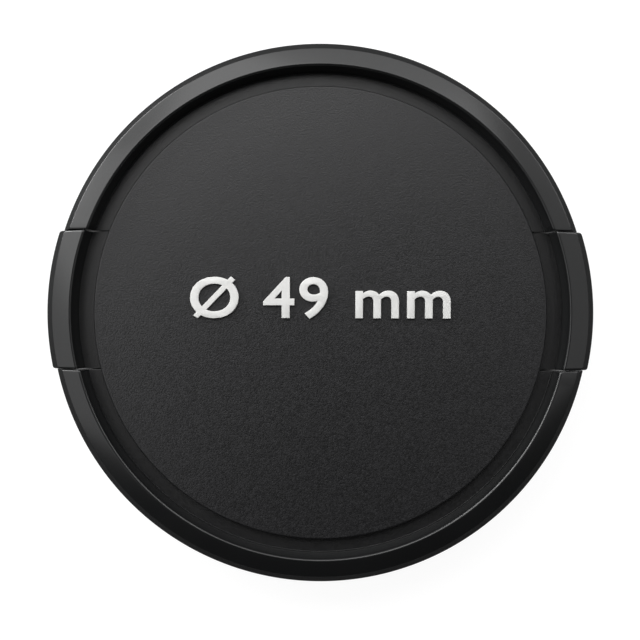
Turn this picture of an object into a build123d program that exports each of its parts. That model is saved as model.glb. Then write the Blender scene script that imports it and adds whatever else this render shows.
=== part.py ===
from build123d import *
import os
from math import asin, degrees, sqrt

# Side-pinch lens cap in millimetres. It lies face up with its back on Z = 0, and its latches slide along X.

# Filter thread of the lens that the cap clips into
thread_diameter = 49.0
thread_pitch = 0.75
thread_height_ratio = 0.5413  # ISO metric thread height over its pitch

# Heights
spigot_height = 2.6  # back of the cap up to the seat that meets the lens
rim_height = 5.6  # seat up to the crest of the rim
ledge_depth = 2.1  # crest of the rim down to the ledge round the plate
web_thickness = 1.0  # floor of the moulding

# Rim section
rim_overhang = 1.3  # rim past the thread's radius
band_width = 0.4  # chamfer round the outside of the rim
band_height = 0.5
face_width = 1.75  # sloping front face of the rim
face_rise = 0.6
wall_lean = 0.45  # draft of the wall between the rim and the ledge
foot_width = 0.12  # small step where that wall meets the ledge
foot_height = 0.1
rim_skin = 1.2  # outer wall beside the hollow in the back of the rim
hollow_roof = 1.0  # material between that hollow and the ledge
hollow_end = 1.2  # material between that hollow and a latch gap
spigot_play = 0.7  # spigot inside the thread's crests
spigot_wall = 1.1

# Chamfers
crest_chamfer = 0.2  # inner edge of the rim's face
seat_chamfer = 0.2  # outer edge of the seat
lead_in = 0.35  # tip of the spigot
gap_chamfer = 0.12  # ends of the rim's and the grips' front faces at the gaps

# Latches
latch_width = 13.2
latch_offset = 1.15  # line that the latches slide on, above the middle of the cap
latch_travel = 1.3
latch_proud = 0.4  # grip outside the rim at rest
latch_setback = 0.2  # inner wall of the grip outside the rim's wall
side_gap = 0.12  # latch to the sides of its gap
slide_gap = 0.15  # latch to the floor below and the plate above
pinch_gap = 0.3  # grip to the plate's edge at full pinch
stop_gap = 0.05  # lugs to their stops
tongue_thickness = 1.2
tongue_rib = 1.2  # ribs along the tongue's sides, which slide on the floor
lug_length = 1.4
lug_reach = 1.2
pocket_depth = 2.6  # spring pocket in the tongue's inner end
pocket_wall = 1.4
pocket_brace = 1.4  # pocket wall past each side of the pocket
grip_flutes = 9
flute_depth = 0.25
flute_spacing = 1.25
flute_margin = 0.6  # grip left plain above and below the flutes

# Claws that hold the lens's thread
claw_width = 12.4
claw_wall = 1.2
claw_bite = 0.05  # ridge crests outside the thread's radius at rest
claw_lift = 0.2  # claw tips above the cap's back
claw_gap = 0.35  # claws to the floor's edge at full pinch
ridge_count = 3
ridge_height = 0.42
ridge_flat = 0.1
ridge_start = 0.45  # claw tip to the middle of the first ridge

# Guide rails and stops
rail_thickness = 1.25
shoulder_x = 9.0  # rest stop for the lugs, from the cap's axis
catch_length = 2.2  # short rail that stops the lugs at full pinch

# Springs
spring_diameter = 2.0
wire_width = 0.27  # square wire
spring_turns = 6
spring_seat_gap = 0.03
spring_play = 0.35  # spring to the sides of its pocket and cradle
post_diameter = 1.1
post_length = 1.2
spring_wall_thickness = 1.8
spring_wall_width = 6.4
cradle_wall = 0.8
cradle_gap = 0.25  # cradle to the tongue at full pinch

# Front plate and the bosses that hold its pegs
plate_thickness = 0.8
plate_chamfer = 0.15
plate_seat = 1.0  # ledge under the plate's edge
peg_diameter = 2.4
peg_length = 1.8
peg_play = 0.08
peg_tip_gap = 0.2
boss_wall = 1.0
boss_x = 6.5
boss_y = 13.5
stay_thickness = 0.8
stay_drop = 0.6  # rib from a boss to the ledge, below the plate

# Levels and radii that follow from the sizes above
seat_z = spigot_height
rim_z = seat_z + rim_height
band_z = rim_z - face_rise
ledge_z = rim_z - ledge_depth
web_z = seat_z + web_thickness
tongue_top = ledge_z - slide_gap
tongue_bottom = tongue_top - tongue_thickness
slide_z = web_z + slide_gap
spring_z = (web_z + ledge_z) / 2

thread_radius = thread_diameter / 2
thread_crest = thread_radius - thread_height_ratio * thread_pitch
spigot_radius = thread_crest - spigot_play
rim_radius = thread_radius + rim_overhang
wall_top = rim_radius - band_width - face_width
wall_foot = wall_top - wall_lean
grip_foot = wall_foot + latch_setback
plate_radius = grip_foot - latch_travel - pinch_gap
ledge_radius = plate_radius - plate_seat
claw_outer = thread_radius + claw_bite - ridge_height
claw_inner = claw_outer - claw_wall

latch_half = latch_width / 2
claw_half = claw_width / 2
slot_half = latch_half + side_gap
slot_x = sqrt(claw_inner**2 - (latch_offset + claw_half)**2) - latch_travel - claw_gap
lug_outer = shoulder_x - stop_gap
tongue_end = lug_outer - lug_length
catch_x = tongue_end - latch_travel - stop_gap
pocket_x = tongue_end + pocket_depth
pocket_half = spring_diameter / 2 + spring_play
wall_x = spring_wall_thickness / 2
reach = rim_radius + latch_proud + latch_width  # past every face, for cutting
level = side_gap / 100  # faces this close together count as level
slide_line = Pos(0, latch_offset, 0)


def block(x_span, y_span, z_span):
    size = [high - low for low, high in (x_span, y_span, z_span)]
    corner = Location((x_span[0], y_span[0], z_span[0]))
    return corner * Box(*size, align=(Align.MIN, Align.MIN, Align.MIN))


def section(points, chamfers=()):
    # A closed outline in radius and height, with some of its corners chamfered
    face = make_face(Polyline(*points, close=True))
    for point, length in chamfers:
        corner = face.vertices().sort_by_distance((*point, 0))[0]
        face = chamfer(corner, length)
    return Plane.XZ * face


def both_sides(solid):
    return [solid, mirror(solid, about=Plane.YZ)]


def mirrored_pair(solid):
    return [solid, mirror(solid, about=Plane.XZ)]


def four_ways(solid):
    return [copy for side in mirrored_pair(solid) for copy in both_sides(side)]


def face_ends(solid, half_width):
    # Edges where the flat sides of a gap or a grip cut the sloping front face
    flats = solid.faces().filter_by(Axis.Y)
    sides = [face for face in flats if abs(abs(face.center().Y - latch_offset) - half_width) < level]
    edges = ShapeList(edge for face in sides for edge in face.edges())
    return edges.filter_by(lambda edge: abs(edge.bounding_box().min.Z - band_z) < level)


def make_cap_body():
    hollow_radius = rim_radius - rim_skin
    hollow_top = ledge_z - hollow_roof
    spigot_inner = spigot_radius - spigot_wall
    foot_radius = wall_foot - foot_width

    crest = (wall_top, rim_z)
    seat_outer = (rim_radius, seat_z)
    tip_outer = (spigot_radius, 0)
    outline = [
        (0, seat_z), (0, web_z), (ledge_radius, web_z), (ledge_radius, ledge_z),
        (foot_radius, ledge_z), (foot_radius, ledge_z + foot_height), (wall_foot, ledge_z + foot_height),
        crest, (rim_radius - band_width, band_z), (rim_radius, band_z - band_height), seat_outer,
        (spigot_radius, seat_z), tip_outer, (spigot_inner, 0), (spigot_inner, seat_z),
    ]
    chamfers = [(crest, crest_chamfer), (seat_outer, seat_chamfer), (tip_outer, lead_in)]
    body = revolve(section(outline, chamfers), Axis.Z)

    # Hollow in the back of the rim, stopped short of the latch gaps
    hollow_outline = [
        (spigot_radius, seat_z), (hollow_radius, seat_z),
        (hollow_radius, hollow_top), (spigot_radius, hollow_top),
    ]
    for turn, offset in ((0, latch_offset), (180, -latch_offset)):
        end_angle = degrees(asin((slot_half + offset + hollow_end) / spigot_radius))
        hollow = revolve(section(hollow_outline), Axis.Z, revolution_arc=180 - 2 * end_angle)
        body -= Rot(0, 0, turn + end_angle) * hollow

    # Gap through the rim and spigot for each latch, and its way in over the floor
    gap = block((slot_x, reach), (-slot_half, slot_half), (-rim_z, 2 * rim_z))
    channel = block((shoulder_x, reach), (-slot_half, slot_half), (web_z, 2 * rim_z))
    body -= both_sides(slide_line * gap) + both_sides(slide_line * channel)
    body = chamfer(face_ends(body, slot_half), gap_chamfer)

    # Notched guide rails: the long one holds the lugs at rest, the short one stops them at full pinch
    rail_y = (slot_half, slot_half + rail_thickness)
    rail = block((shoulder_x, ledge_radius), rail_y, (web_z, ledge_z))
    catch = block((catch_x - catch_length, catch_x), rail_y, (web_z, ledge_z))
    for solid in four_ways(rail) + four_ways(catch):
        body += slide_line * solid

    # Spring wall across the middle, with a post and a cradle for each spring
    wall_y = (-spring_wall_width / 2, spring_wall_width / 2)
    body += slide_line * block((-wall_x, wall_x), wall_y, (web_z, ledge_z))
    post = Pos(wall_x, 0, spring_z) * Rot(0, 90, 0) * Cylinder(
        post_diameter / 2, post_length, align=(Align.CENTER, Align.CENTER, Align.MIN)
    )
    cradle_y = (pocket_half, pocket_half + cradle_wall)
    cradle = block((wall_x, catch_x - cradle_gap), cradle_y, (web_z, spring_z))
    for solid in both_sides(post) + four_ways(cradle):
        body += slide_line * solid

    # Bosses for the plate's pegs, each tied to the ledge by a rib
    boss_radius = peg_diameter / 2 + peg_play + boss_wall
    boss = Pos(boss_x, boss_y, web_z) * Cylinder(
        boss_radius, ledge_z - web_z, align=(Align.CENTER, Align.CENTER, Align.MIN)
    )
    stay_x = (boss_x - stay_thickness / 2, boss_x + stay_thickness / 2)
    stay_end = sqrt(ledge_radius**2 - stay_x[0]**2)
    stay = block(stay_x, (boss_y, stay_end), (web_z, ledge_z - stay_drop))
    body += four_ways(boss) + four_ways(stay)
    hole_depth = peg_length + peg_tip_gap
    hole = Pos(boss_x, boss_y, ledge_z) * Cylinder(
        peg_diameter / 2 + peg_play, hole_depth, align=(Align.CENTER, Align.CENTER, Align.MAX)
    )
    return body - four_ways(hole)


def make_front_plate():
    plate = Pos(0, 0, ledge_z) * Cylinder(
        plate_radius, plate_thickness, align=(Align.CENTER, Align.CENTER, Align.MIN)
    )
    plate = chamfer(plate.edges().sort_by(Axis.Z)[-1], plate_chamfer)
    peg = Pos(boss_x, boss_y, ledge_z) * Cylinder(
        peg_diameter / 2, peg_length, align=(Align.CENTER, Align.CENTER, Align.MAX)
    )
    return plate + four_ways(peg)


def make_grip():
    # The rim's section, moved outwards, with its back hollowed to a skin
    grip_z = seat_z + slide_gap
    inner_top = wall_top + latch_setback - latch_proud
    inner_foot = grip_foot - latch_proud
    crest = (inner_top, rim_z)
    skirt = (rim_radius, grip_z)
    outline = [
        (inner_foot, tongue_bottom), (inner_foot, tongue_top),
        crest, (rim_radius - band_width, band_z), (rim_radius, band_z - band_height), skirt,
        (rim_radius - rim_skin, grip_z), (rim_radius - rim_skin, tongue_bottom),
    ]
    chamfers = [(crest, crest_chamfer), (skirt, seat_chamfer)]
    ring = Pos(latch_proud, 0, 0) * revolve(section(outline, chamfers), Axis.Z)
    grip = ring & slide_line * block((shoulder_x, reach), (-latch_half, latch_half), (0, 2 * rim_z))
    grip = chamfer(face_ends(grip, latch_half), gap_chamfer)

    flute_low = grip_z + flute_margin
    flute_high = band_z - band_height - flute_margin
    flute_side = 2 * flute_depth
    flute = Rot(0, 0, 45) * Box(
        flute_side, flute_side, flute_high - flute_low, align=(Align.CENTER, Align.CENTER, Align.MIN)
    )
    flute_axis = rim_radius + flute_side / sqrt(2) - flute_depth
    for index in range(grip_flutes):
        across = latch_offset + (index - (grip_flutes - 1) / 2) * flute_spacing
        turn = degrees(asin(across / rim_radius))
        grip -= Pos(latch_proud, 0, flute_low) * Rot(0, 0, turn) * Pos(flute_axis, 0, 0) * flute
    return grip


def make_claw():
    # Arc of wall behind the grip, with ridges that catch the thread
    claw_top = tongue_bottom + tongue_thickness / 2
    flank = (thread_pitch - ridge_flat) / 2
    outline = [(claw_inner, claw_lift), (claw_outer, claw_lift)]
    for index in range(ridge_count):
        middle = claw_lift + ridge_start + index * thread_pitch
        crest_radius = claw_outer + ridge_height
        outline += [
            (claw_outer, middle - flank), (crest_radius, middle - ridge_flat / 2),
            (crest_radius, middle + ridge_flat / 2),
        ]
    outline += [(claw_outer, middle + flank), (claw_outer, claw_top), (claw_inner, claw_top)]
    ring = revolve(section(outline), Axis.Z)
    return ring & slide_line * block((shoulder_x, reach), (-claw_half, claw_half), (0, rim_z))


def make_latch():
    grip_root = grip_foot + latch_setback
    tongue = block((tongue_end, grip_root), (-latch_half, latch_half), (tongue_bottom, tongue_top))
    rib = block((tongue_end, slot_x), (latch_half - tongue_rib, latch_half), (slide_z, tongue_bottom))
    lug_y = (latch_half, latch_half + lug_reach)
    lug = block((tongue_end, lug_outer), lug_y, (slide_z, tongue_top))
    tongue += mirrored_pair(rib) + mirrored_pair(lug)

    # Spring pocket in the inner end, closed by a wall with a post
    brace_half = pocket_half + pocket_brace
    tongue += block((pocket_x, pocket_x + pocket_wall), (-brace_half, brace_half), (slide_z, tongue_bottom))
    tongue -= block((tongue_end, pocket_x), (-pocket_half, pocket_half), (0, rim_z))
    tongue += Pos(pocket_x, 0, spring_z) * Rot(0, -90, 0) * Cylinder(
        post_diameter / 2, post_length, align=(Align.CENTER, Align.CENTER, Align.MIN)
    )
    return make_grip() + make_claw() + slide_line * tongue


def make_spring():
    inset = wire_width / 2 + spring_seat_gap
    length = pocket_x - wall_x - 2 * inset
    coil_radius = (spring_diameter - wire_width) / 2
    centre = Vector(wall_x + inset, latch_offset, spring_z)
    path = Helix(length / spring_turns, length, coil_radius, center=centre, direction=(1, 0, 0))
    start = path @ 0
    wire = Plane(start, x_dir=start - centre, z_dir=path % 0) * Rectangle(wire_width, wire_width)
    return sweep(wire, path=path, is_frenet=True)


right_latch, left_latch = both_sides(make_latch())
right_spring, left_spring = both_sides(make_spring())
nodes = {
    "cap_body": make_cap_body(),
    "front_plate": make_front_plate(),
    "right_latch": right_latch,
    "left_latch": left_latch,
    "right_spring": right_spring,
    "left_spring": left_spring,
}

os.makedirs("parts", exist_ok=True)
for name, solid in nodes.items():
    export_step(solid, f"parts/{name}.step")
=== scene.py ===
import math

import bmesh
import bpy
from mathutils import Matrix, Vector
from mathutils.geometry import intersect_line_line_2d, tessellate_polygon


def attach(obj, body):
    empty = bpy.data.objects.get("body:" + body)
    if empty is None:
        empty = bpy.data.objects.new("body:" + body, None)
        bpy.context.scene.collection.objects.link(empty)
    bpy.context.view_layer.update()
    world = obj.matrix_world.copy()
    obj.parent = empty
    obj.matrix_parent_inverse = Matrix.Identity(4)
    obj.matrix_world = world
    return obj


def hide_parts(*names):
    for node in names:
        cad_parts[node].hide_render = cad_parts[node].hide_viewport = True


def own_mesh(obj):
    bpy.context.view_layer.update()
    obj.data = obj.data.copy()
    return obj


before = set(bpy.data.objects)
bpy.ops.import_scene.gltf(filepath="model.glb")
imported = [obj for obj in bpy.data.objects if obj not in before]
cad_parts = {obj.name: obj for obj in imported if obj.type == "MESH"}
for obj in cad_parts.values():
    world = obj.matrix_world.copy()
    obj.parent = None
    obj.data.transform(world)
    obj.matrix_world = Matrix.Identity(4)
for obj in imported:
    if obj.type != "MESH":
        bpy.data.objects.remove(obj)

# Side-pinch lens cap, front side up, seen from straight above.
# Meshes are made in millimetres and scaled to metres when they are finished.
scene = bpy.context.scene
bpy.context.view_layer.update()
toMetres = Matrix.Scale(0.001, 4)
print("frame loaded:", sorted(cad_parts))


def linear(hexColour):
    channels = [int(hexColour[i:i + 2], 16) / 255 for i in (1, 3, 5)]
    return [c / 12.92 if c <= 0.04045 else ((c + 0.055) / 1.055) ** 2.4 for c in channels] + [1.0]


def addNode(tree, kind, inputs=None, **settings):
    # An input is a value, or a node or socket to link. A node gives its first output in use.
    node = tree.nodes.new(kind)
    for name, value in settings.items():
        setattr(node, name, value)
    for socket, value in (inputs or {}).items():
        if isinstance(value, bpy.types.Node):
            value = next(output for output in value.outputs if output.enabled)
        if isinstance(value, bpy.types.NodeSocket):
            tree.links.new(value, node.inputs[socket])
        else:
            node.inputs[socket].default_value = value
    return node


def newMaterial(name):
    material = bpy.data.materials.new(name)
    material.use_nodes = True
    material.node_tree.nodes.clear()
    return material, material.node_tree


def perMetre(millimetres):
    return 1000 / millimetres  # texture scale for a pattern of this size


# ABS moulded in a polished steel tool: a deep black skin with a satin gloss that blurs the lamps, flow that
# shifts the gloss over some millimetres, and a faint tool grain, drawn coarser than it is so that it shows.
satinAbs = {
    "colour": "#141415", "flowColour": "#191a1a", "rough": (0.20, 0.25),
    "flow": 7.0, "grain": 0.16, "depth": 0.004,
}


def makeSatinAbs(name):
    material, tree = newMaterial(name)
    place = addNode(tree, "ShaderNodeTexCoord").outputs["Object"]
    flow = addNode(tree, "ShaderNodeTexNoise", {
        "Vector": place, "Scale": perMetre(satinAbs["flow"]), "Detail": 3.0, "Roughness": 0.55,
    }).outputs["Fac"]
    tint = addNode(tree, "ShaderNodeMix", {
        "Factor": flow, "A": linear(satinAbs["colour"]), "B": linear(satinAbs["flowColour"]),
    }, data_type="RGBA")
    gloss = addNode(tree, "ShaderNodeMapRange", {
        "Value": flow, "From Min": 0.3, "From Max": 0.7,
        "To Min": satinAbs["rough"][0], "To Max": satinAbs["rough"][1],
    })
    grain = addNode(tree, "ShaderNodeTexNoise", {
        "Vector": place, "Scale": perMetre(satinAbs["grain"]), "Detail": 2.0, "Roughness": 0.5,
    }).outputs["Fac"]
    bump = addNode(tree, "ShaderNodeBump", {
        "Height": grain, "Strength": 0.35, "Distance": satinAbs["depth"] / 1000,
    })
    skin = addNode(tree, "ShaderNodeBsdfPrincipled", {
        "Base Color": tint, "Roughness": gloss, "Normal": bump, "IOR": 1.5,
    })
    addNode(tree, "ShaderNodeOutputMaterial", {"Surface": skin})
    return material


# ABS moulded in a spark-eroded tool: fine pebbles that scatter the light, so the face is matte, with soft
# clouds in its tone. The pebbles are drawn at about twice their real size, to show at all. On the ledge
# they are shallower than on the plate, and the ledge is given a darker tone: painted shade for the
# recessed floor of the ledge and of the latch tongues.
plateGrain = {
    "hollowColour": "#0e0e0f", "colour": "#171719", "rough": (0.37, 0.50),
    "pebble": 0.14, "cloud": 1.6, "cloudShare": 0.3, "depth": 0.012,
}
# Darker tone than the plate: painted shade for the recessed floor of the ledge and the latch tongues
ledgeGrainAndShade = {
    "hollowColour": "#0b0b0c", "colour": "#131314", "rough": (0.38, 0.50),
    "pebble": 0.14, "cloud": 1.2, "cloudShare": 0.3, "depth": 0.006,
}


def makeGrainedAbs(name, grain):
    material, tree = newMaterial(name)
    place = addNode(tree, "ShaderNodeTexCoord").outputs["Object"]
    cloud = addNode(tree, "ShaderNodeTexNoise", {
        "Vector": place, "Scale": perMetre(grain["cloud"]), "Detail": 4.0, "Roughness": 0.6,
    }).outputs["Fac"]
    pebble = addNode(tree, "ShaderNodeTexVoronoi", {
        "Vector": place, "Scale": perMetre(grain["pebble"]),
    }).outputs
    tone = addNode(tree, "ShaderNodeSeparateColor", {"Color": pebble["Color"]}).outputs["Red"]
    raised = addNode(tree, "ShaderNodeMath", {
        0: cloud, 1: grain["cloudShare"], 2: tone,
    }, operation="MULTIPLY_ADD")
    share = addNode(tree, "ShaderNodeMapRange", {"Value": raised, "From Min": 0.1, "From Max": 1.2})
    tint = addNode(tree, "ShaderNodeMix", {
        "Factor": share, "A": linear(grain["hollowColour"]), "B": linear(grain["colour"]),
    }, data_type="RGBA")
    gloss = addNode(tree, "ShaderNodeMapRange", {
        "Value": share, "To Min": grain["rough"][0], "To Max": grain["rough"][1],
    })
    bump = addNode(tree, "ShaderNodeBump", {
        "Height": pebble["Distance"], "Strength": 1.0, "Distance": grain["depth"] / 1000,
    }, invert=True)
    skin = addNode(tree, "ShaderNodeBsdfPrincipled", {
        "Base Color": tint, "Roughness": gloss, "Normal": bump, "IOR": 1.5,
    })
    addNode(tree, "ShaderNodeOutputMaterial", {"Surface": skin})
    return material


# Spring wire drawn through a die: bright steel, a little duller where a film of oil lies on it.
drawnSteel = {"colour": "#c9c8c4", "dullColour": "#a9a8a5", "rough": (0.22, 0.34), "film": 0.5}


def makeDrawnSteel(name):
    material, tree = newMaterial(name)
    place = addNode(tree, "ShaderNodeTexCoord").outputs["Object"]
    film = addNode(tree, "ShaderNodeTexNoise", {
        "Vector": place, "Scale": perMetre(drawnSteel["film"]), "Detail": 3.0,
    }).outputs["Fac"]
    tint = addNode(tree, "ShaderNodeMix", {
        "Factor": film, "A": linear(drawnSteel["colour"]), "B": linear(drawnSteel["dullColour"]),
    }, data_type="RGBA")
    gloss = addNode(tree, "ShaderNodeMapRange", {
        "Value": film, "To Min": drawnSteel["rough"][0], "To Max": drawnSteel["rough"][1],
    })
    skin = addNode(tree, "ShaderNodeBsdfPrincipled", {
        "Base Color": tint, "Roughness": gloss, "Metallic": 1.0,
    })
    addNode(tree, "ShaderNodeOutputMaterial", {"Surface": skin})
    return material


# White ink pad-printed on raised figures: an even satin white, a little uneven where the pad lifted.
padInk = {"colour": "#d8d8d6", "thinColour": "#cacac8", "rough": 0.42, "lift": 0.35, "depth": 0.006}


def makePadInk(name):
    material, tree = newMaterial(name)
    place = addNode(tree, "ShaderNodeTexCoord").outputs["Object"]
    lift = addNode(tree, "ShaderNodeTexNoise", {
        "Vector": place, "Scale": perMetre(padInk["lift"]), "Detail": 3.0,
    }).outputs["Fac"]
    tint = addNode(tree, "ShaderNodeMix", {
        "Factor": lift, "A": linear(padInk["colour"]), "B": linear(padInk["thinColour"]),
    }, data_type="RGBA")
    bump = addNode(tree, "ShaderNodeBump", {
        "Height": lift, "Strength": 0.4, "Distance": padInk["depth"] / 1000,
    })
    skin = addNode(tree, "ShaderNodeBsdfPrincipled", {
        "Base Color": tint, "Normal": bump, "Roughness": padInk["rough"], "IOR": 1.5,
    })
    addNode(tree, "ShaderNodeOutputMaterial", {"Surface": skin})
    return material


satinBlack = makeSatinAbs("abs_moulded_satin")
grainedBlack = makeGrainedAbs("abs_moulded_grained", plateGrain)
ledgeShadedBlack = makeGrainedAbs("abs_moulded_fine_grained_painted_shade", ledgeGrainAndShade)
springSteel = makeDrawnSteel("steel_wire_drawn")
markWhite = makePadInk("ink_white_pad_printed")
print("materials made")

sameSpot = 0.0005  # points this close together become one
sharpAngle = 32  # degrees, edges above it stay sharp


def toObject(bm, name):
    bmesh.ops.remove_doubles(bm, verts=bm.verts, dist=sameSpot)
    bmesh.ops.recalc_face_normals(bm, faces=bm.faces)
    mesh = bpy.data.meshes.new(name)
    bm.to_mesh(mesh)
    bm.free()
    obj = bpy.data.objects.new(name, mesh)
    scene.collection.objects.link(obj)
    return obj


def plainMesh(obj):
    depsgraph = bpy.context.evaluated_depsgraph_get()
    return bpy.data.meshes.new_from_object(obj.evaluated_get(depsgraph))


def combine(base, others, operation):
    group = bpy.data.collections.new(base.name + "_others")
    for other in others:
        group.objects.link(other)
    joiner = base.modifiers.new("combine", "BOOLEAN")
    joiner.operation = operation
    joiner.solver = "EXACT"
    joiner.operand_type = "COLLECTION"
    joiner.collection = group
    mesh = plainMesh(base)
    base.modifiers.remove(joiner)
    bm = bmesh.new()
    bm.from_mesh(mesh)
    bmesh.ops.remove_doubles(bm, verts=bm.verts, dist=sameSpot)
    bmesh.ops.dissolve_degenerate(bm, edges=bm.edges, dist=sameSpot)
    bm.to_mesh(mesh)
    bm.free()
    base.data = mesh
    for other in others:
        bpy.data.objects.remove(other)
    bpy.data.collections.remove(group)
    return base


def mirrorCopy(obj, name):
    copy = bpy.data.objects.new(name, obj.data.copy())
    scene.collection.objects.link(copy)
    copy.data.transform(Matrix.Scale(-1, 4, (1, 0, 0)))
    copy.data.flip_normals()
    return copy


def roundedOutline(corners, arcSteps=7):
    # Corners are (radius, height, fillet), anticlockwise
    points = []
    for index, (across, up, fillet) in enumerate(corners):
        here = Vector((across, up))
        if not fillet:
            points.append(here)
            continue
        back = (Vector(corners[index - 1][:2]) - here).normalized()
        ahead = (Vector(corners[(index + 1) % len(corners)][:2]) - here).normalized()
        half = back.angle(ahead) / 2
        centre = here + (back + ahead).normalized() * fillet / math.sin(half)
        first = here + back * fillet / math.tan(half) - centre
        last = here + ahead * fillet / math.tan(half) - centre
        turn = first.angle(last)
        for step in range(arcSteps + 1):
            share = step / arcSteps
            spoke = first * math.sin((1 - share) * turn) + last * math.sin(share * turn)
            points.append(centre + spoke / math.sin(turn))
    return points


def neighbour(points, index, step):
    # The next point this way round that isn't on the same spot
    others = (points[(index + step * k) % len(points)] for k in range(1, len(points)))
    return next(other for other in others if (other - points[index]).length > sameSpot)


def insetOutline(points, amount):
    # Moves every side to its left, which is inwards on an anticlockwise outline
    inset = []
    for index, point in enumerate(points):
        edgeIn = (point - neighbour(points, index, -1)).normalized()
        edgeOut = (neighbour(points, index, 1) - point).normalized()
        normalIn = Vector((-edgeIn.y, edgeIn.x))
        normalOut = Vector((-edgeOut.y, edgeOut.x))
        inset.append(point + (normalIn + normalOut) * amount / (1 + normalIn.dot(normalOut)))
    return inset


def planeAngle(plane, radius, shift):
    angle = math.asin((plane["y"] + plane["inward"] * shift) / radius)
    return math.pi - angle if plane["left"] else angle + plane.get("turn", 0.0)


# How much of the rounding of a swept piece's ends is left below its front face
endFade = {"from": 7.0, "over": 0.7, "least": 0.15}


def frontWeight(height):
    share = min(max((height - endFade["from"]) / endFade["over"], 0.0), 1.0)
    return endFade["least"] + (1 - endFade["least"]) * share * share * (3 - 2 * share)


def arcSweep(name, stations, start, end, ends, axisX=0.0, roundSteps=5):
    # Sweeps outlines about an upright axis, from one plane across Y to another. The ends are rounded
    # over a length along the sweep, by a fall of the front face and by a corner at the outer wall,
    # which may tuck in below the front.
    quarter = [math.pi / 2 * step / roundSteps for step in range(1, roundSteps + 1)]
    turns = [(1 - math.cos(a), 1 - math.sin(a)) for a in quarter]
    rows = [(0.0, stations[0][1], *turn) for turn in reversed(turns)]
    rows += [(share, outline, 0.0, 1.0) for share, outline in stations]
    rows += [(1.0, stations[-1][1], *turn) for turn in turns]
    bm = bmesh.new()
    rings = []
    for share, outline, fall, run in rows:
        ring = []
        for whole, inset in zip(outline, insetOutline(outline, ends["fall"] * fall)):
            weight = frontWeight(whole.y)
            point = whole.lerp(inset, weight)
            shift = ends["along"] * run * max(weight, ends["foot"])
            if whole.x > ends["wall"]:
                point.x -= ends["corner"] * fall
                shift -= ends["tuck"] * (1 - weight)
            first = planeAngle(start, point.x, shift)
            angle = first + (planeAngle(end, point.x, shift) - first) * share
            x, y = axisX + point.x * math.cos(angle), point.x * math.sin(angle)
            ring.append(bm.verts.new((x, y, point.y)))
        rings.append(ring)
    count = len(rings[0])
    for ringA, ringB in zip(rings, rings[1:]):
        for i in range(count):
            j = (i + 1) % count
            bm.faces.new((ringA[i], ringA[j], ringB[j], ringB[i]))
    bm.faces.new(rings[0])
    bm.faces.new(rings[-1])
    return toObject(bm, name)


def lathe(name, outline, centre=(0.0, 0.0), segments=48):
    # Turns an open outline that starts and ends on the axis
    bm = bmesh.new()
    rings = []
    for step in range(segments):
        angle = 2 * math.pi * step / segments
        spoke = Vector((math.cos(angle), math.sin(angle)))
        rings.append([bm.verts.new((*(Vector(centre) + spoke * r), z)) for r, z in outline])
    for step in range(segments):
        ringA, ringB = rings[step], rings[(step + 1) % segments]
        for i in range(len(outline) - 1):
            bm.faces.new((ringA[i], ringA[i + 1], ringB[i + 1], ringB[i]))
    return toObject(bm, name)


def prism(name, outline, low, high):
    bm = bmesh.new()
    bottom = [bm.verts.new((x, y, low)) for x, y in outline]
    top = [bm.verts.new((x, y, high)) for x, y in outline]
    for i in range(len(outline)):
        j = (i + 1) % len(outline)
        bm.faces.new((bottom[i], bottom[j], top[j], top[i]))
    bm.faces.new(bottom)
    bm.faces.new(top)
    return toObject(bm, name)


def block(name, xSpan, ySpan, zSpan):
    (x0, x1), (y0, y1) = xSpan, ySpan
    return prism(name, [(x0, y0), (x1, y0), (x1, y1), (x0, y1)], *zSpan)


def pin(name, radius, xSpan, y, z):
    bm = bmesh.new()
    place = Matrix.Translation((sum(xSpan) / 2, y, z)) @ Matrix.Rotation(math.pi / 2, 4, "Y")
    length = xSpan[1] - xSpan[0]
    bmesh.ops.create_cone(
        bm, cap_ends=True, segments=32, radius1=radius, radius2=radius, depth=length, matrix=place)
    return toObject(bm, name)


def finishPiece(obj, materials, body, node, grainedShadedAt=None):
    mesh = obj.data
    mesh.materials.clear()
    for material in materials:
        mesh.materials.append(material)
    # The second material's darker tone is painted shade on the recessed floor faces
    if grainedShadedAt is not None:  # level faces at this height take the second material
        for face in mesh.polygons:
            isLevel = face.normal.z > 0.99
            atHeight = abs(face.center.z - grainedShadedAt) < 0.01
            face.material_index = int(isLevel and atHeight)
    mesh.transform(toMetres)
    mesh.shade_smooth()
    mesh.set_sharp_from_angle(angle=math.radians(sharpAngle))
    even = obj.modifiers.new("even_normals", "WEIGHTED_NORMAL")
    even.keep_sharp = True
    even.weight = 100
    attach(obj, body)
    if node:
        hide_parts(node)
    print("piece", obj.name, "faces", len(mesh.polygons))


# Latch line and gap that the cap and the latches share. The gap is cut past the rim and over its height.
latchLine = 1.15
gap = {"half": 6.72, "innerX": 20.07, "outerX": 30.0, "height": (0, 9)}

# band (width, fall), face (width, rise), step (width, height), spigot (inner, outer radius),
# hollow (inner, outer radius, top)
cap = {
    "rimRadius": 25.8, "rimTop": 8.2, "seat": 2.6, "band": (0.57, 0.5), "face": (1.75, 0.6),
    "wallFoot": 23.2, "ledge": 6.1, "step": (0.12, 0.1), "ledgeRadius": 20.8, "floorTop": 3.6,
    "spigot": (22.294, 23.394), "leadIn": 0.35, "hollow": (23.394, 24.6, 5.1), "hollowEnd": 1.2,
    "crestRound": 0.22, "bandRound": 0.22, "seatRound": 0.2, "spigotRound": 0.1, "stepRound": 0.04,
    "ledgeRound": 0.1, "rows": 220, "floorSegments": 180,
    "ends": {"along": 0.22, "fall": 0.09, "corner": 0.0, "tuck": 0.1, "wall": 25.1, "foot": 0.15},
}


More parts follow.
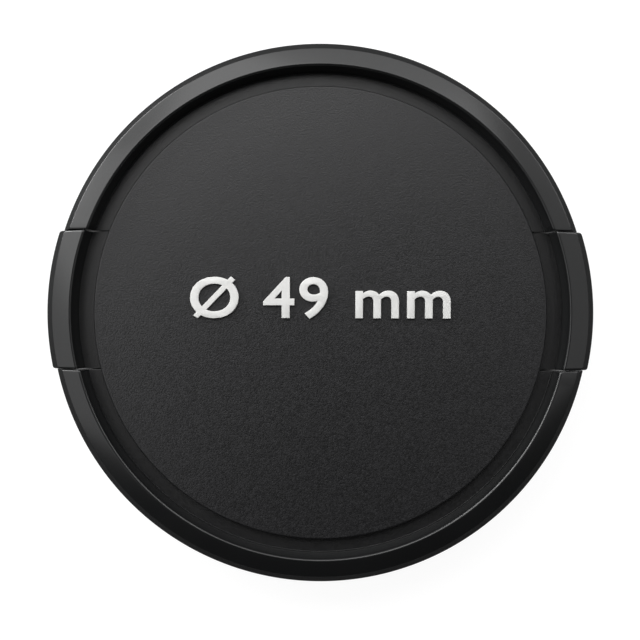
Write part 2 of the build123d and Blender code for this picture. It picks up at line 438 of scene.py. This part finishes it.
def capOutline(hollowTop):
    rim, top, seat, ledge = cap["rimRadius"], cap["rimTop"], cap["seat"], cap["ledge"]
    bandIn = rim - cap["band"][0]
    bandTop = top - cap["face"][1]
    stepIn, stepTop = cap["wallFoot"] - cap["step"][0], ledge + cap["step"][1]
    inner, outer = cap["spigot"]
    hollowIn, hollowOut = cap["hollow"][:2]
    return roundedOutline([
        (cap["ledgeRadius"], seat, 0), (inner, seat, 0), (inner, 0, cap["spigotRound"]),
        (outer - cap["leadIn"], 0, cap["spigotRound"]), (outer, cap["leadIn"], cap["spigotRound"]),
        (outer, seat, 0), (hollowIn, hollowTop, 0), (hollowOut, hollowTop, 0), (hollowOut, seat, 0),
        (rim, seat, cap["seatRound"]), (rim, bandTop - cap["band"][1], cap["bandRound"]),
        (bandIn, bandTop, cap["bandRound"]), (bandIn - cap["face"][0], top, cap["crestRound"]),
        (cap["wallFoot"], stepTop, 0), (stepIn, stepTop, cap["stepRound"]), (stepIn, ledge, 0),
        (cap["ledgeRadius"], ledge, cap["ledgeRound"]),
    ])


def rimHalf(name, planeY, inward, start, end):
    solid, hollowed = capOutline(cap["seat"]), capOutline(cap["hollow"][2])
    share = cap["hollowEnd"] / (math.pi * cap["rimRadius"])
    rows = cap["rows"]
    stations = [(0.0, solid), (share / 2, solid), (share, solid)]
    stations += [(share + (1 - 2 * share) * step / rows, hollowed) for step in range(rows + 1)]
    stations += [(1 - share, solid), (1 - share / 2, solid), (1.0, solid)]
    planes = [{"y": planeY, "inward": inward, **side} for side in (start, end)]
    return arcSweep(name, stations, *planes, cap["ends"])


# What stands on the floor under the plate: catchX (from, to), wall (thickness, length), post (radius, reach),
# cradle (near, far, reach), boss (x, y), stay (thickness, top). Laps are how deep one part starts in another.
inside = {
    "shoulderX": 9.0, "railEnd": 19.6, "rail": 1.25, "catchX": (4.0, 6.2), "wall": (1.8, 6.4),
    "post": (0.55, 1.2), "springZ": 4.85, "cradle": (1.35, 2.15, 5.95), "boss": (6.5, 13.5),
    "bossRadius": 2.28, "holeRadius": 1.28, "holeFloor": 4.1, "stay": (0.8, 5.5), "stayEnd": 20.1,
    "laps": {"floor": 0.3, "post": 0.3, "cradle": 0.2, "stay": 0.4},
}


def makeCap():
    high, low = latchLine + gap["half"], latchLine - gap["half"]
    seat, floorTop, ledge = cap["seat"], cap["floorTop"], cap["ledge"]
    laps = inside["laps"]
    sunk = floorTop - laps["floor"]
    upper = rimHalf("capShell", high, 1, {"left": False}, {"left": True})
    parts = [rimHalf("lowerRim", low, -1, {"left": True}, {"left": False, "turn": 2 * math.pi})]
    edge = cap["ledgeRadius"] + laps["floor"]
    floorOutline = [(0, seat), (edge, seat), (edge, floorTop), (0, floorTop)]
    floor = lathe("floor", floorOutline, segments=cap["floorSegments"])
    ways = []
    for side in (-1, 1):
        wayX = sorted((side * gap["innerX"], side * gap["outerX"]))
        ways.append(block("way", wayX, (low, high), gap["height"]))
    parts.append(combine(floor, ways, "DIFFERENCE"))
    width, length = inside["wall"]
    wallY = (latchLine - length / 2, latchLine + length / 2)
    parts.append(block("springWall", (-width / 2, width / 2), wallY, (sunk, ledge)))
    for side in (-1, 1):
        railX = sorted((side * inside["shoulderX"], side * inside["railEnd"]))
        catchX = sorted(side * x for x in inside["catchX"])
        for railY in ((high, high + inside["rail"]), (low - inside["rail"], low)):
            parts.append(block("rail", railX, railY, (sunk, ledge)))
            parts.append(block("catch", catchX, railY, (sunk, ledge)))
        near, far, reach = inside["cradle"]
        cradleX = sorted((side * (width / 2 - laps["cradle"]), side * reach))
        for flip in (-1, 1):
            cradleY = sorted((latchLine + flip * near, latchLine + flip * far))
            parts.append(block("cradle", cradleX, cradleY, (sunk, inside["springZ"])))
            bossX, bossY = side * inside["boss"][0], flip * inside["boss"][1]
            bossOutline = [
                (0, sunk), (inside["bossRadius"], sunk), (inside["bossRadius"], ledge),
                (inside["holeRadius"], ledge), (inside["holeRadius"], inside["holeFloor"]),
                (0, inside["holeFloor"]),
            ]
            parts.append(lathe("boss", bossOutline, (bossX, bossY)))
            thick, stayTop = inside["stay"]
            stayX = (bossX - thick / 2, bossX + thick / 2)
            stayY = sorted((bossY + flip * (inside["bossRadius"] - laps["stay"]), flip * inside["stayEnd"]))
            parts.append(block("stay", stayX, stayY, (sunk, stayTop)))
        radius, reach = inside["post"]
        postX = sorted((side * (width / 2 - laps["post"]), side * (width / 2 + reach)))
        parts.append(pin("post", radius, postX, latchLine, inside["springZ"]))
    shell = combine(upper, parts, "UNION")
    finishPiece(shell, [satinBlack, ledgeShadedBlack], "cap", "cap_body", grainedShadedAt=ledge)


makeCap()

plate = {
    "radius": 21.8, "low": 6.1, "high": 6.9, "edgeRound": 0.16, "backRound": 0.06, "segments": 256,
    "pegRadius": 1.2, "pegTip": 4.3, "pegChamfer": 0.15, "pegLap": 0.3,
}


def makePlate():
    low, high, edge = plate["low"], plate["high"], plate["radius"]
    discOutline = roundedOutline([
        (0, low, 0), (edge, low, plate["backRound"]), (edge, high, plate["edgeRound"]), (0, high, 0),
    ])
    disc = lathe("frontPlate", discOutline, segments=plate["segments"])
    radius, tip, chamfer = plate["pegRadius"], plate["pegTip"], plate["pegChamfer"]
    root = low + plate["pegLap"]
    pegOutline = [(0, tip), (radius - chamfer, tip), (radius, tip + chamfer), (radius, root), (0, root)]
    bossX, bossY = inside["boss"]
    pegs = [lathe("peg", pegOutline, (x * bossX, y * bossY)) for x in (-1, 1) for y in (-1, 1)]
    combine(disc, pegs, "UNION")
    finishPiece(disc, [grainedBlack], "cap", "front_plate")


makePlate()

# footCut (across, up) hidden in the tongue, tongue (low, high), lug (end in X, reach), pocket (end in X,
# half width), pocketWall (thickness, half width). Slips keep faces of joined parts out of one plane.
latch = {
    "half": 6.60, "proud": 0.4, "innerTop": 23.32, "innerFoot": 23.0, "footCut": (0.3, 0.2), "skin": 1.2,
    "skirt": 2.75, "skirtRound": 0.1, "tongue": (4.75, 5.95), "tongueX": (7.55, 23.6),
    "slide": 3.75, "rib": 1.2, "lug": (8.95, 1.2), "pocket": (10.15, 1.35), "pocketWall": (1.4, 2.75),
    "laps": {"under": 0.3, "lug": 0.4, "post": 0.3}, "slips": (0.002, 0.004), "rows": 250, "skirtRows": 30,
    "ends": {"along": 0.22, "fall": 0.09, "corner": 0.22, "tuck": 0.0, "wall": 25.1, "foot": 1.0},
}
flutes = {"count": 9, "spacing": 1.25, "width": 0.62, "depth": 0.25, "low": 3.35, "high": 6.5, "runOut": 0.8}
claw = {
    "half": 6.2, "inner": 22.93, "outer": 24.13, "low": 0.2, "high": 5.35, "footRound": 0.1, "rows": 72,
    "pitch": 0.75, "ridge": 0.42, "flat": 0.1, "start": 0.45, "count": 3,
    "ends": {"along": 0.08, "fall": 0.4, "corner": 0.0, "tuck": 0.0, "wall": 30.0, "foot": 1.0},
}


def newTree(name, inputs):
    tree = bpy.data.node_groups.new(name, "GeometryNodeTree")
    sockets = {}
    for label, kind in inputs.items():
        socket = tree.interface.new_socket(label, in_out="INPUT", socket_type="NodeSocket" + kind)
        sockets[label] = socket.identifier
    tree.interface.new_socket("Geometry", in_out="OUTPUT", socket_type="NodeSocketGeometry")
    return tree, sockets, addNode(tree, "NodeGroupInput").outputs


def applyTree(obj, tree, sockets, values):
    modifier = obj.modifiers.new(tree.name, "NODES")
    modifier.node_group = tree
    for name, value in values.items():
        modifier[sockets[name]] = value
    obj.data.update()
    mesh = plainMesh(obj)
    obj.modifiers.remove(modifier)
    obj.data = mesh
    return obj


def makeFluteTree():
    # Presses upright flutes into the outer wall of a grip, by each point's place
    sizes = ("Axis X", "Radius", "Line Y", "Count", "Spacing", "Width", "Depth", "Low", "High", "Run Out")
    tree, sockets, given = newTree("gripFlutes", {
        "Geometry": "Geometry", **dict.fromkeys(sizes, "Float"), "Material": "Material",
    })
    position = addNode(tree, "GeometryNodeInputPosition")
    place = addNode(tree, "ShaderNodeSeparateXYZ", {"Vector": position}).outputs
    fromAxis = addNode(tree, "ShaderNodeMath", {0: place["X"], 1: given["Axis X"]}, operation="SUBTRACT")
    outward = addNode(tree, "ShaderNodeCombineXYZ", {"X": fromAxis, "Y": place["Y"]})
    radius = addNode(tree, "ShaderNodeVectorMath", {0: outward}, operation="LENGTH")
    spoke = addNode(tree, "ShaderNodeVectorMath", {0: outward}, operation="NORMALIZE")
    # Only points on the outer wall move
    onWall = addNode(tree, "ShaderNodeMath", {0: radius, 1: given["Radius"], 2: 0.01}, operation="COMPARE")
    # Place across the grip, counted in flutes from its middle line
    fromLine = addNode(tree, "ShaderNodeMath", {0: place["Y"], 1: given["Line Y"]}, operation="SUBTRACT")
    across = addNode(tree, "ShaderNodeMath", {0: fromLine, 1: given["Spacing"]}, operation="DIVIDE")
    halfCount = addNode(tree, "ShaderNodeMath", {0: given["Count"], 1: 0.5}, operation="MULTIPLY")
    inRow = addNode(tree, "ShaderNodeMath", {0: across, 1: 0.0, 2: halfCount}, operation="COMPARE")
    nearest = addNode(tree, "ShaderNodeMath", {0: across}, operation="ROUND")
    offset = addNode(tree, "ShaderNodeMath", {0: across, 1: nearest}, operation="SUBTRACT")
    distance = addNode(tree, "ShaderNodeMath", {0: offset}, operation="ABSOLUTE")
    aside = addNode(tree, "ShaderNodeMath", {0: distance, 1: given["Spacing"]}, operation="MULTIPLY")
    halfWidth = addNode(tree, "ShaderNodeMath", {0: given["Width"], 1: 0.5}, operation="MULTIPLY")
    hollow = addNode(tree, "ShaderNodeMapRange", {
        "Value": aside, "From Max": halfWidth, "To Min": 1.0, "To Max": 0.0,
    }, interpolation_type="SMOOTHSTEP")
    fullFrom = addNode(tree, "ShaderNodeMath", {0: given["Low"], 1: given["Run Out"]}, operation="ADD")
    rise = addNode(tree, "ShaderNodeMapRange", {
        "Value": place["Z"], "From Min": given["Low"], "From Max": fullFrom,
    }, interpolation_type="SMOOTHSTEP")
    fullTo = addNode(tree, "ShaderNodeMath", {0: given["High"], 1: given["Run Out"]}, operation="SUBTRACT")
    fall = addNode(tree, "ShaderNodeMapRange", {
        "Value": place["Z"], "From Min": fullTo, "From Max": given["High"], "To Min": 1.0, "To Max": 0.0,
    }, interpolation_type="SMOOTHSTEP")
    push = given["Depth"]
    for factor in (hollow, rise, fall, onWall, inRow, -1.0):
        push = addNode(tree, "ShaderNodeMath", {0: push, 1: factor}, operation="MULTIPLY")
    inward = addNode(tree, "ShaderNodeVectorMath", {0: spoke, "Scale": push}, operation="SCALE")
    pressed = addNode(tree, "GeometryNodeSetPosition", {"Geometry": given["Geometry"], "Offset": inward})
    real = addNode(tree, "GeometryNodeRealizeInstances", {"Geometry": pressed})
    coated = addNode(tree, "GeometryNodeSetMaterial", {"Geometry": real, "Material": given["Material"]})
    addNode(tree, "NodeGroupOutput", {"Geometry": coated})
    return tree, sockets


def latchPlanes(half):
    # The planes across Y that end a piece of the right latch
    return [
        {"y": latchLine - half, "inward": 1, "left": False},
        {"y": latchLine + half, "inward": -1, "left": False},
    ]


def makeGrip():
    rim, top = cap["rimRadius"], cap["rimTop"]
    bandIn, bandTop = rim - cap["band"][0], top - cap["face"][1]
    low, high = latch["tongue"]
    lean = (latch["innerTop"] - latch["innerFoot"]) / (top - high)
    cutIn, cutUp = latch["footCut"]
    inner = latch["innerFoot"] - lean * (high - low - cutUp)
    outline = roundedOutline([
        (inner, low + cutUp, 0), (latch["innerFoot"] + cutIn, low, 0), (rim - latch["skin"], low, 0),
        (rim - latch["skin"], latch["skirt"], latch["skirtRound"]), (rim, latch["skirt"], cap["seatRound"]),
        (rim, bandTop - cap["band"][1], cap["bandRound"]), (bandIn, bandTop, cap["bandRound"]),
        (latch["innerTop"], top, cap["crestRound"]),
    ])
    # The outer wall, the longest side out there, needs rows of its own for the flutes
    runs = [(b - a).length * (a.x > rim - 0.01) for a, b in zip(outline, outline[1:] + outline[:1])]
    wall = runs.index(max(runs))
    rows = latch["skirtRows"]
    foot, head = outline[wall], outline[wall + 1]
    outline[wall + 1:wall + 1] = [foot.lerp(head, step / rows) for step in range(1, rows)]
    stations = [(step / latch["rows"], outline) for step in range(latch["rows"] + 1)]
    grip = arcSweep("rightLatch", stations, *latchPlanes(latch["half"]), latch["ends"], axisX=latch["proud"])
    tree, sockets = makeFluteTree()
    return applyTree(grip, tree, sockets, {
        "Axis X": latch["proud"], "Radius": rim, "Line Y": latchLine, "Count": float(flutes["count"]),
        "Spacing": flutes["spacing"], "Width": flutes["width"], "Depth": flutes["depth"],
        "Low": flutes["low"], "High": flutes["high"], "Run Out": flutes["runOut"], "Material": satinBlack,
    })


def makeClaw():
    outer, crest = claw["outer"], claw["outer"] + claw["ridge"]
    flank, halfFlat = (claw["pitch"] - claw["flat"]) / 2, claw["flat"] / 2
    corners = [(claw["inner"], claw["low"], claw["footRound"]), (outer, claw["low"], 0)]
    for index in range(claw["count"]):
        middle = claw["low"] + claw["start"] + index * claw["pitch"]
        corners += [(outer, middle - flank, 0), (crest, middle - halfFlat, 0), (crest, middle + halfFlat, 0)]
    corners += [(outer, middle + flank, 0), (outer, claw["high"], 0), (claw["inner"], claw["high"], 0)]
    outline = roundedOutline(corners, arcSteps=3)
    stations = [(step / claw["rows"], outline) for step in range(claw["rows"] + 1)]
    return arcSweep("claw", stations, *latchPlanes(claw["half"]), claw["ends"], roundSteps=2)


def makeTongue():
    inner, outer = latch["tongueX"]
    low, high = latch["tongue"]
    half, (pocketX, pocketHalf) = latch["half"], latch["pocket"]
    laps, (slip, lugSlip) = latch["laps"], latch["slips"]
    fork = [
        (inner, -half), (outer, -half), (outer, half), (inner, half),
        (inner, pocketHalf), (pocketX, pocketHalf), (pocketX, -pocketHalf), (inner, -pocketHalf),
    ]
    tongue = prism("tongue", [(x, y + latchLine) for x, y in fork], low, high)
    under = (latch["slide"], low + laps["under"])
    parts = []
    for flip in (-1, 1):
        ribY = sorted(latchLine + flip * y for y in (half - latch["rib"], half - slip))
        parts.append(block("rib", (inner + slip, gap["innerX"]), ribY, under))
        lugX, lugReach = latch["lug"]
        lugY = sorted(latchLine + flip * y for y in (half - laps["lug"], half + lugReach))
        parts.append(block("lug", (inner + lugSlip, lugX), lugY, (latch["slide"] + slip, high - slip)))
    wallThick, wallHalf = latch["pocketWall"]
    wallY = (latchLine - wallHalf, latchLine + wallHalf)
    parts.append(block("pocketWall", (pocketX + slip, pocketX + wallThick), wallY, under))
    radius, reach = inside["post"]
    postX = (pocketX - reach, pocketX + laps["post"])
    parts.append(pin("post", radius, postX, latchLine, inside["springZ"]))
    return combine(tongue, parts, "UNION")


def makeLatches():
    right = combine(makeGrip(), [makeTongue(), makeClaw()], "UNION")
    left = mirrorCopy(right, "leftLatch")
    for obj, body in ((right, "right_latch"), (left, "left_latch")):
        finishPiece(obj, [satinBlack, ledgeShadedBlack], body, body, grainedShadedAt=latch["tongue"][1])


makeLatches()

spring = {
    "coil": 0.85, "wire": 0.15, "fixedX": 0.9, "movingX": 10.15, "seat": 0.03, "travel": 1.3,
    "turns": 6.0, "closed": 0.75, "perTurn": 40,
}


def makeSpringTree():
    # A round wire wound along X, with its first and last turns closed up
    sizes = ("Start X", "Line Y", "Height", "Length", "Coil Radius", "Wire Radius", "Turns", "Closed Turns")
    tree, sockets, given = newTree("coilSpring", {
        **dict.fromkeys(sizes, "Float"), "Points": "Int", "Material": "Material",
    })
    line = addNode(tree, "GeometryNodeCurvePrimitiveLine", {"End": (1.0, 0.0, 0.0)})
    dense = addNode(tree, "GeometryNodeResampleCurve", {"Curve": line, "Count": given["Points"]})
    along = addNode(tree, "GeometryNodeSplineParameter").outputs["Factor"]
    turns, closed = given["Turns"], given["Closed Turns"]
    turn = addNode(tree, "ShaderNodeMath", {0: along, 1: turns}, operation="MULTIPLY")
    # A closed turn takes a little more than the wire's thickness
    closedPitch = addNode(tree, "ShaderNodeMath", {0: given["Wire Radius"], 1: 2.1}, operation="MULTIPLY")
    closedRun = addNode(tree, "ShaderNodeMath", {0: closed, 1: closedPitch}, operation="MULTIPLY")
    bothClosed = addNode(tree, "ShaderNodeMath", {0: closedRun, 1: 2.0}, operation="MULTIPLY")
    openRun = addNode(tree, "ShaderNodeMath", {0: given["Length"], 1: bothClosed}, operation="SUBTRACT")
    lastOpen = addNode(tree, "ShaderNodeMath", {0: turns, 1: closed}, operation="SUBTRACT")
    spot = {"X": given["Start X"]}
    stretches = ((0.0, closed, closedRun), (closed, lastOpen, openRun), (lastOpen, turns, closedRun))
    for fromTurn, toTurn, run in stretches:
        part = addNode(tree, "ShaderNodeMapRange", {
            "Value": turn, "From Min": fromTurn, "From Max": toTurn, "To Max": run,
        })
        spot["X"] = addNode(tree, "ShaderNodeMath", {0: spot["X"], 1: part}, operation="ADD")
    angle = addNode(tree, "ShaderNodeMath", {0: turn, 1: 2 * math.pi}, operation="MULTIPLY")
    for axis, wave, middle in (("Y", "COSINE", given["Line Y"]), ("Z", "SINE", given["Height"])):
        swing = addNode(tree, "ShaderNodeMath", {0: angle}, operation=wave)
        spot[axis] = addNode(tree, "ShaderNodeMath", {
            0: swing, 1: given["Coil Radius"], 2: middle,
        }, operation="MULTIPLY_ADD")
    position = addNode(tree, "ShaderNodeCombineXYZ", spot)
    coil = addNode(tree, "GeometryNodeSetPosition", {"Geometry": dense, "Position": position})
    section = addNode(tree, "GeometryNodeCurvePrimitiveCircle", {
        "Radius": given["Wire Radius"], "Resolution": 12,
    })
    wire = addNode(tree, "GeometryNodeCurveToMesh", {
        "Curve": coil, "Profile Curve": section, "Fill Caps": True,
    })
    real = addNode(tree, "GeometryNodeRealizeInstances", {"Geometry": wire})
    coated = addNode(tree, "GeometryNodeSetMaterial", {"Geometry": real, "Material": given["Material"]})
    addNode(tree, "NodeGroupOutput", {"Geometry": coated})
    return tree, sockets


def makeSprings():
    tree, sockets = makeSpringTree()
    inset = spring["seat"] + spring["wire"]
    length = spring["movingX"] - spring["fixedX"]
    right = applyTree(toObject(bmesh.new(), "rightSpring"), tree, sockets, {
        "Start X": spring["fixedX"] + inset, "Line Y": latchLine, "Height": inside["springZ"],
        "Length": length - 2 * inset, "Coil Radius": spring["coil"], "Wire Radius": spring["wire"],
        "Turns": spring["turns"], "Closed Turns": spring["closed"],
        "Points": int(spring["turns"] * spring["perTurn"]), "Material": springSteel,
    })
    left = mirrorCopy(right, "leftSpring")
    for obj, side, node in ((right, 1, "right_spring"), (left, -1, "left_spring")):
        mesh = obj.data
        mesh.transform(toMetres)
        mesh.shade_smooth()
        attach(obj, "cap")
        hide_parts(node)
        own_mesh(obj)
        print("piece", obj.name, "faces", len(mesh.polygons))


makeSprings()

# Weight is added all round the figures, and needle is the cosine of a turn too sharp to keep
mark = {
    "text": "Ø 49 mm", "height": 4.0, "width": 25.0, "middle": (0.0, 1.4), "raised": 0.32, "sunk": 0.05,
    "edge": 0.05, "edgeSteps": 3, "weight": 0.09, "needle": -0.9, "spread": 1.08, "curveSteps": 6,
}


def heavier(outline):
    grown = insetOutline(outline, -mark["weight"])
    # Where the sides of a narrow corner now cross, their meeting is the corner
    for index in range(len(grown)):
        a, b, c, d = (grown[(index + k) % len(grown)] for k in range(4))
        meeting = intersect_line_line_2d(a, b, c, d)
        if meeting and (c - b).length < 2 * mark["weight"]:
            grown = [meeting if point is b else point for point in grown if point is not c]
            break
    # A narrow notch now ends in a needle, which comes off
    neighbours = zip(grown[-1:] + grown[:-1], grown, grown[1:] + grown[:1])
    return [b for a, b, c in neighbours if (b - a).normalized().dot((c - b).normalized()) > mark["needle"]]


def markFigures():
    # Each figure's outlines, the outer one first, all with the ink on their left
    curve = bpy.data.curves.new("figures", "FONT")
    curve.body = mark["text"]
    curve.fill_mode = "NONE"
    curve.resolution_u = mark["curveSteps"]
    curve.space_character = mark["spread"]
    text = bpy.data.objects.new("figures", curve)
    scene.collection.objects.link(text)
    wire = plainMesh(text)
    bpy.data.objects.remove(text)
    size = Vector((mark["width"] - 2 * mark["weight"], mark["height"] - 2 * mark["weight"]))
    corner = Vector(mark["middle"]) - size / 2
    low = [min(vert.co[axis] for vert in wire.vertices) for axis in (0, 1)]
    high = [max(vert.co[axis] for vert in wire.vertices) for axis in (0, 1)]
    places = []
    for vert in wire.vertices:
        shares = Vector([(vert.co[axis] - low[axis]) / (high[axis] - low[axis]) for axis in (0, 1)])
        places.append(corner + shares * size)
    ahead = {edge.vertices[0]: edge.vertices[1] for edge in wire.edges}
    figures, counters = [], []
    while ahead:
        index = next(iter(ahead))
        outline = []
        while index in ahead:
            outline.append(places[index])
            index = ahead.pop(index)
        outline = heavier(outline)
        area = sum(a.cross(b) for a, b in zip(outline, outline[1:] + outline[:1]))
        if area > 0:
            figures.append([outline])
        else:
            counters.append(outline)
    for counter in counters:
        for figure in figures:
            xs = [point.x for point in figure[0]]
            if min(xs) < counter[0].x < max(xs):
                figure.append(counter)
    return figures


def makeMark():
    bm = bmesh.new()
    low, high = plate["high"] - mark["sunk"], plate["high"] + mark["raised"]
    quarter = [math.pi / 2 * step / mark["edgeSteps"] for step in range(mark["edgeSteps"] + 1)]
    levels = [(0.0, low)]
    levels += [(mark["edge"] * (1 - math.cos(a)), high - mark["edge"] * (1 - math.sin(a))) for a in quarter]
    for figure in markFigures():
        bottom, top = [], []
        for outline in figure:
            rings = []
            for inset, z in levels:
                rings.append([bm.verts.new((*point, z)) for point in insetOutline(outline, inset)])
            for ringA, ringB in zip(rings, rings[1:]):
                for i in range(len(outline)):
                    bm.faces.new((ringA[i - 1], ringA[i], ringB[i], ringB[i - 1]))
            bottom.append(rings[0])
            top.append(rings[-1])
        for rings in (bottom, top):
            corners = [vert for ring in rings for vert in ring]
            for triangle in tessellate_polygon([[vert.co for vert in ring] for ring in rings]):
                bm.faces.new([corners[i] for i in triangle])
    finishPiece(toObject(bm, "sizeMark"), [markWhite], "cap", None)


makeMark()

# Camera straight above the cap, with the cap's middle 8 pixels above the middle of the image
camera = {"height": 0.108, "focal": 1052, "imageWidth": 640, "aim": (-0.00003, -0.00072), "roll": 0.2}
cameraData = bpy.data.cameras.new("camera")
cameraData.sensor_width = 36
cameraData.lens = camera["focal"] / camera["imageWidth"] * cameraData.sensor_width
cameraData.clip_start = 0.001
cameraObject = bpy.data.objects.new("camera", cameraData)
cameraObject.location = (*camera["aim"], camera["height"])
cameraObject.rotation_euler = (0, 0, math.radians(camera["roll"]))
scene.collection.objects.link(cameraObject)
scene.camera = cameraObject

# Softboxes behind the cap and along its sides, near enough for the light to fall off towards the front.
# The sheen lamp lightens the plate's upper half, and the edge lamps draw a line along the band's top.
# Azimuth and elevation in degrees, width and height in metres.
lampDistance = 0.2
softboxes = {
    "back": {"azimuth": 88, "elevation": 47.5, "size": (0.22, 0.142), "power": 0.206},
    "left": {"azimuth": 135, "elevation": 45.5, "size": (0.20, 0.142), "power": 0.143},
    "leftSide": {"azimuth": 175, "elevation": 48, "size": (0.20, 0.145), "power": 0.116},
    "rightSide": {"azimuth": 20, "elevation": 48, "size": (0.22, 0.145), "power": 0.076},
    "sheen": {"azimuth": 103, "elevation": 67, "size": (0.08, 0.03), "power": 0.030},
    "rightEdge": {"azimuth": 40, "elevation": 20, "size": (0.14, 0.035), "power": 0.09},
    "leftEdge": {"azimuth": 142, "elevation": 18, "size": (0.14, 0.035), "power": 0.30},
}


def makeSoftbox(name, box):
    lamp = bpy.data.lights.new(name, "AREA")
    lamp.shape = "RECTANGLE"
    lamp.size, lamp.size_y = box["size"]
    lamp.energy = box["power"]
    lampObject = bpy.data.objects.new(name, lamp)
    azimuth, elevation = math.radians(box["azimuth"]), math.radians(box["elevation"])
    level = math.cos(elevation)
    toLamp = Vector((math.cos(azimuth) * level, math.sin(azimuth) * level, math.sin(elevation)))
    lampObject.location = toLamp * lampDistance
    lampObject.rotation_euler = toLamp.to_track_quat("Z", "Y").to_euler()
    scene.collection.objects.link(lampObject)


for boxName, box in softboxes.items():
    makeSoftbox(boxName, box)

# Studio: a pale sweep round the horizon, dark above it, and white where the camera sees it
studio = {"sweep": 0.6, "overhead": 0.015, "sweepTop": 0.04, "darkFrom": 0.18}
world = bpy.data.worlds.new("studio")
scene.world = world
world.use_nodes = True
worldTree = world.node_tree
worldTree.nodes.clear()
direction = addNode(worldTree, "ShaderNodeTexCoord").outputs["Generated"]
height = addNode(worldTree, "ShaderNodeSeparateXYZ", {"Vector": direction}).outputs["Z"]
level = addNode(worldTree, "ShaderNodeMapRange", {
    "Value": height, "From Min": studio["sweepTop"], "From Max": studio["darkFrom"],
    "To Min": studio["sweep"], "To Max": studio["overhead"],
}, interpolation_type="SMOOTHSTEP")
seen = addNode(worldTree, "ShaderNodeLightPath").outputs["Is Camera Ray"]
strength = addNode(worldTree, "ShaderNodeMath", {0: level, 1: seen}, operation="MAXIMUM")
sky = addNode(worldTree, "ShaderNodeBackground", {"Color": (1, 1, 1, 1), "Strength": strength})
addNode(worldTree, "ShaderNodeOutputWorld", {"Surface": sky})

# Matte white table. It shines a little for the camera, so that it reads as white paper. In reflections it
# shines only close to the cap, a painted pool of light. Under the cap, and fading out just past its rim, the
# shine is taken away: a painted shadow, where no light comes. Distances in metres from the middle.
table = {
    "colour": "#e6e6e6", "shadeColour": "#747474", "shine": 0.92,
    "under": (0.0235, 0.0272), "near": (0.027, 0.036), "half": 1.5,
}
paper, paperTree = newMaterial("paper_matte_white")
place = addNode(paperTree, "ShaderNodeTexCoord").outputs["Object"]
fromMiddle = addNode(paperTree, "ShaderNodeVectorMath", {0: place}, operation="LENGTH")
# Painted shadow under the cap: the shine fades out from the outer to the inner radius of under
clear = addNode(paperTree, "ShaderNodeMapRange", {
    "Value": fromMiddle, "From Min": table["under"][0], "From Max": table["under"][1],
    "To Max": table["shine"],
}, interpolation_type="SMOOTHSTEP")
# Painted pool of light: in reflections the table glows only close to the cap, and further out it is plain lit
# paper
near = addNode(paperTree, "ShaderNodeMapRange", {
    "Value": fromMiddle, "From Min": table["near"][0], "From Max": table["near"][1],
    "To Min": 1.0, "To Max": 0.0,
}, interpolation_type="SMOOTHSTEP")
rays = addNode(paperTree, "ShaderNodeLightPath").outputs
mirrored = addNode(paperTree, "ShaderNodeMath", {
    0: rays["Is Glossy Ray"], 1: rays["Is Transmission Ray"],
}, operation="MAXIMUM")
mirroredPaintedPool = addNode(paperTree, "ShaderNodeMath", {0: mirrored, 1: near}, operation="MULTIPLY")
shown = addNode(paperTree, "ShaderNodeMath", {
    0: rays["Is Camera Ray"], 1: mirroredPaintedPool,
}, operation="MAXIMUM")
glow = addNode(paperTree, "ShaderNodeMath", {0: clear, 1: shown}, operation="MULTIPLY")
shine = addNode(paperTree, "ShaderNodeEmission", {"Color": (1, 1, 1, 1), "Strength": glow})
matte = addNode(paperTree, "ShaderNodeBsdfDiffuse", {"Color": linear(table["colour"])})
shade = addNode(paperTree, "ShaderNodeBsdfDiffuse", {"Color": linear(table["shadeColour"])})
lit = addNode(paperTree, "ShaderNodeAddShader", {0: shade, 1: shine})
direct = addNode(paperTree, "ShaderNodeMath", {0: rays["Is Camera Ray"], 1: mirrored}, operation="MAXIMUM")
seenPaper = addNode(paperTree, "ShaderNodeMixShader", {0: direct, 1: matte, 2: lit})
addNode(paperTree, "ShaderNodeOutputMaterial", {"Surface": seenPaper})
tableMesh = bpy.data.meshes.new("table")
half = table["half"]
tableCorners = [(-half, -half, 0), (half, -half, 0), (half, half, 0), (-half, half, 0)]
tableMesh.from_pydata(tableCorners, [], [(0, 1, 2, 3)])
tableMesh.materials.append(paper)
tableObject = bpy.data.objects.new("table", tableMesh)
scene.collection.objects.link(tableObject)
print("camera, light and table placed")

scene.view_settings.view_transform = "Standard"
bpy.context.view_layer.update()
